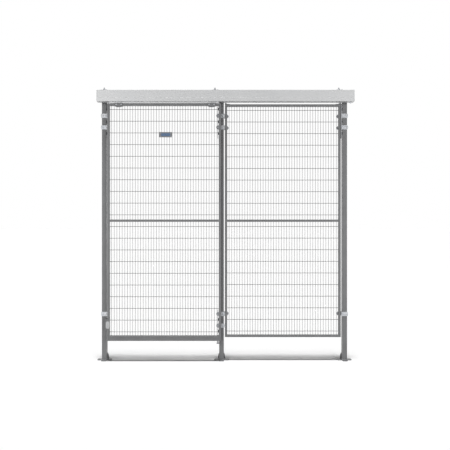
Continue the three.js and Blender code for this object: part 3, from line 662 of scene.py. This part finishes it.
roller_low, roller_high = box_mm("guide_roller")
roller_x, roller_y, _ = centre_of(roller_low, roller_high)
roller = bmesh.new()
roller_place = facing(UP, (roller_x, roller_y, roller_low[2]))
lathe(roller, ROLLER, roller_place, WHEEL_SEGMENTS, ring=True)
turned = make_piece("guide_roller_turned", roller, DARK_PLASTIC, "roller")
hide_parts("guide_roller")

# ---------------------------------------------------------------- rail's end caps

CAP_PLATE = 3.1
CAP_CORNER, CAP_CORNER_STEPS = 3, 5
CAP_RIM, CAP_RIM_STEPS = 0.8, 3
CAP_CREASE = 30
CAP_SCREW_DISTANCE = 30  # above and below the middle
CAP_SCREW_HEIGHT = 0.85  # so that the screws stay inside the CAD's cap
CAP_SCREW = [(radius, min(height, CAP_SCREW_HEIGHT), *hexagonal)
             for radius, height, *hexagonal in button_head(radius=4.6, height=1.0, socket=1.7)]

for side, outward in (("left", -1), ("right", 1)):
    cap_low, cap_high = box_mm(f"rail_end_cap_{side}")
    cap = bmesh.new()
    bmesh.ops.create_cube(cap, size=1)
    inner_x = cap_high[0] if outward < 0 else cap_low[0]
    outer_x = inner_x + outward * CAP_PLATE
    _, middle_y, middle_z = centre_of(cap_low, cap_high)
    middle = (inner_x + outward * CAP_PLATE / 2, middle_y, middle_z)
    spans = (CAP_PLATE, cap_high[1] - cap_low[1], cap_high[2] - cap_low[2])
    for vertex in cap.verts:
        vertex.co = Vector([middle[i] + vertex.co[i] * spans[i] for i in range(3)])
    corner_edges = [e for e in cap.edges if abs((e.verts[0].co - e.verts[1].co).x) > 1]
    bmesh.ops.bevel(cap, geom=corner_edges, offset=CAP_CORNER, segments=CAP_CORNER_STEPS,
                    profile=0.5, affect="EDGES")
    rim = [e for e in cap.edges if all(abs(v.co.x - outer_x) < 0.01 for v in e.verts)]
    bmesh.ops.bevel(cap, geom=rim, offset=CAP_RIM, segments=CAP_RIM_STEPS,
                    profile=0.5, affect="EDGES")
    for rise in (-CAP_SCREW_DISTANCE, CAP_SCREW_DISTANCE):
        place = (outer_x, middle_y, middle_z + rise)
        lathe(cap, CAP_SCREW, facing((outward, 0, 0), place), MEDIUM)
    cover = make_piece(f"end_cap_{side}", cap, CAP_METAL, "frame", CAP_CREASE)
    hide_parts(f"rail_end_cap_{side}")

# ---------------------------------------------------------------- floor, world and light

FLOOR_SIZE = 400
FLOOR_DROP = 0.0005  # just under the feet
FLOOR_SEEN, FLOOR_LIT = 1.05, 0.7


def floor_white(name, seen, lit):
    """A white for camera, mirrors and glass, and a duller one for the light it gives back."""
    material = bpy.data.materials.new(name)
    material.use_nodes = True
    tree = material.node_tree
    tree.nodes.clear()
    path = tree.nodes.new("ShaderNodeLightPath")
    looked_at = path.outputs["Is Camera Ray"]
    for ray in ("Is Glossy Ray", "Is Transmission Ray"):
        looked_at = calculate(tree, "MAXIMUM", looked_at, path.outputs[ray])
    colour = mix_colours(tree, looked_at, (lit, lit, lit), (seen, seen, seen))
    diffuse = tree.nodes.new("ShaderNodeBsdfDiffuse")
    out = tree.nodes.new("ShaderNodeOutputMaterial")
    tree.links.new(colour, diffuse.inputs["Color"])
    tree.links.new(diffuse.outputs["BSDF"], out.inputs["Surface"])
    return material


half = FLOOR_SIZE / 2
floor_mesh = bpy.data.meshes.new("floor")
floor_mesh.from_pydata(
    [(-half, -half, 0), (half, -half, 0), (half, half, 0), (-half, half, 0)], [], [(0, 1, 2, 3)])
floor = bpy.data.objects.new("floor", floor_mesh)
floor.location = (0, 0, -FLOOR_DROP)
scene.collection.objects.link(floor)
paint(floor, floor_white("floor_white", FLOOR_SEEN, FLOOR_LIT))

# The world is white to the camera and through glass. Mirrors see it white too, but for a dim
# patch behind the camera. All other rays get its weak ambient light.
AMBIENT = 0.06
DIM_EDGE, DIM_CORE = 0.950, 0.984  # cosines of the angle from straight behind the camera
DIM_TONE = 0.1

world = bpy.data.worlds.new("studio")
scene.world = world
world.use_nodes = True
world_tree = world.node_tree
world_tree.nodes.clear()
light_path = world_tree.nodes.new("ShaderNodeLightPath")
direction = world_tree.nodes.new("ShaderNodeTexCoord")
towards_camera = world_tree.nodes.new("ShaderNodeVectorMath")
towards_camera.operation = "DOT_PRODUCT"
towards_camera.inputs[1].default_value = FRONT
world_tree.links.new(direction.outputs["Generated"], towards_camera.inputs[0])
dim_patch = ramp(
    world_tree, towards_camera.outputs["Value"], [(DIM_EDGE, 1.0), (DIM_CORE, DIM_TONE)])


def background(strength, colour=(1, 1, 1)):
    node = world_tree.nodes.new("ShaderNodeBackground")
    node.inputs["Strength"].default_value = strength
    feed(world_tree, colour, node.inputs["Color"])
    return node.outputs["Background"]


def choose(condition, otherwise, then):
    node = world_tree.nodes.new("ShaderNodeMixShader")
    for value, socket in zip((condition, otherwise, then), node.inputs):
        world_tree.links.new(value, socket)
    return node.outputs["Shader"]


lit_or_mirrored = choose(
    light_path.outputs["Is Glossy Ray"], background(AMBIENT), background(1, dim_patch))
through_glass = choose(
    light_path.outputs["Is Transmission Ray"], lit_or_mirrored, background(1))
seen_world = choose(light_path.outputs["Is Camera Ray"], through_glass, background(1))
world_out = world_tree.nodes.new("ShaderNodeOutputWorld")
world_tree.links.new(seen_world, world_out.inputs["Surface"])


def place_light(name, kind, place, target, energy):
    data = bpy.data.lights.new(name, kind)
    data.energy = energy
    light = bpy.data.objects.new(name, data)
    light.location = place
    light.rotation_euler = (Vector(target) - Vector(place)).to_track_quat("-Z", "Y").to_euler()
    scene.collection.objects.link(light)
    return light


# Overhead lights, a little to the front, throw the soft shadow just behind the partition.
LAMP_HEIGHT = 6
SUNS = (  # name, tilt and spread in degrees, strength
    ("overhead_steep", 4.2, 5.5, 1.85),
    ("overhead_soft", 7.5, 9, 0.75),
    ("overhead_wide", 11, 12, 0.25),
)
for sun_name, tilt, spread, strength in SUNS:
    sun_y = -LAMP_HEIGHT * math.tan(math.radians(tilt))
    sun = place_light(sun_name, "SUN", (0, sun_y, LAMP_HEIGHT), (0, 0, 0), strength)
    sun.data.angle = math.radians(spread)

# Fills from the front and from behind, which light the partition and not the floor.
FILL_HEIGHT, FILL_TARGET, FILL_SIZE = 1.3, (0, 0, 1.2), 3
FILLS = (  # name, x, y, power in watts
    ("fill_left", -5, -7, 285),
    ("fill_right", 5, -7, 217),
    ("back_left", -5, 7, 150),
    ("back_right", 5, 7, 170),
)
off_floor = bpy.data.collections.new("fill_receivers")
off_floor.objects.link(floor)
off_floor.collection_objects[0].light_linking.link_state = "EXCLUDE"
for fill_name, fill_x, fill_y, power in FILLS:
    fill = place_light(fill_name, "AREA", (fill_x, fill_y, FILL_HEIGHT), FILL_TARGET, power)
    fill.data.shape = "RECTANGLE"
    fill.data.size = fill.data.size_y = FILL_SIZE
    fill.light_linking.receiver_collection = off_floor
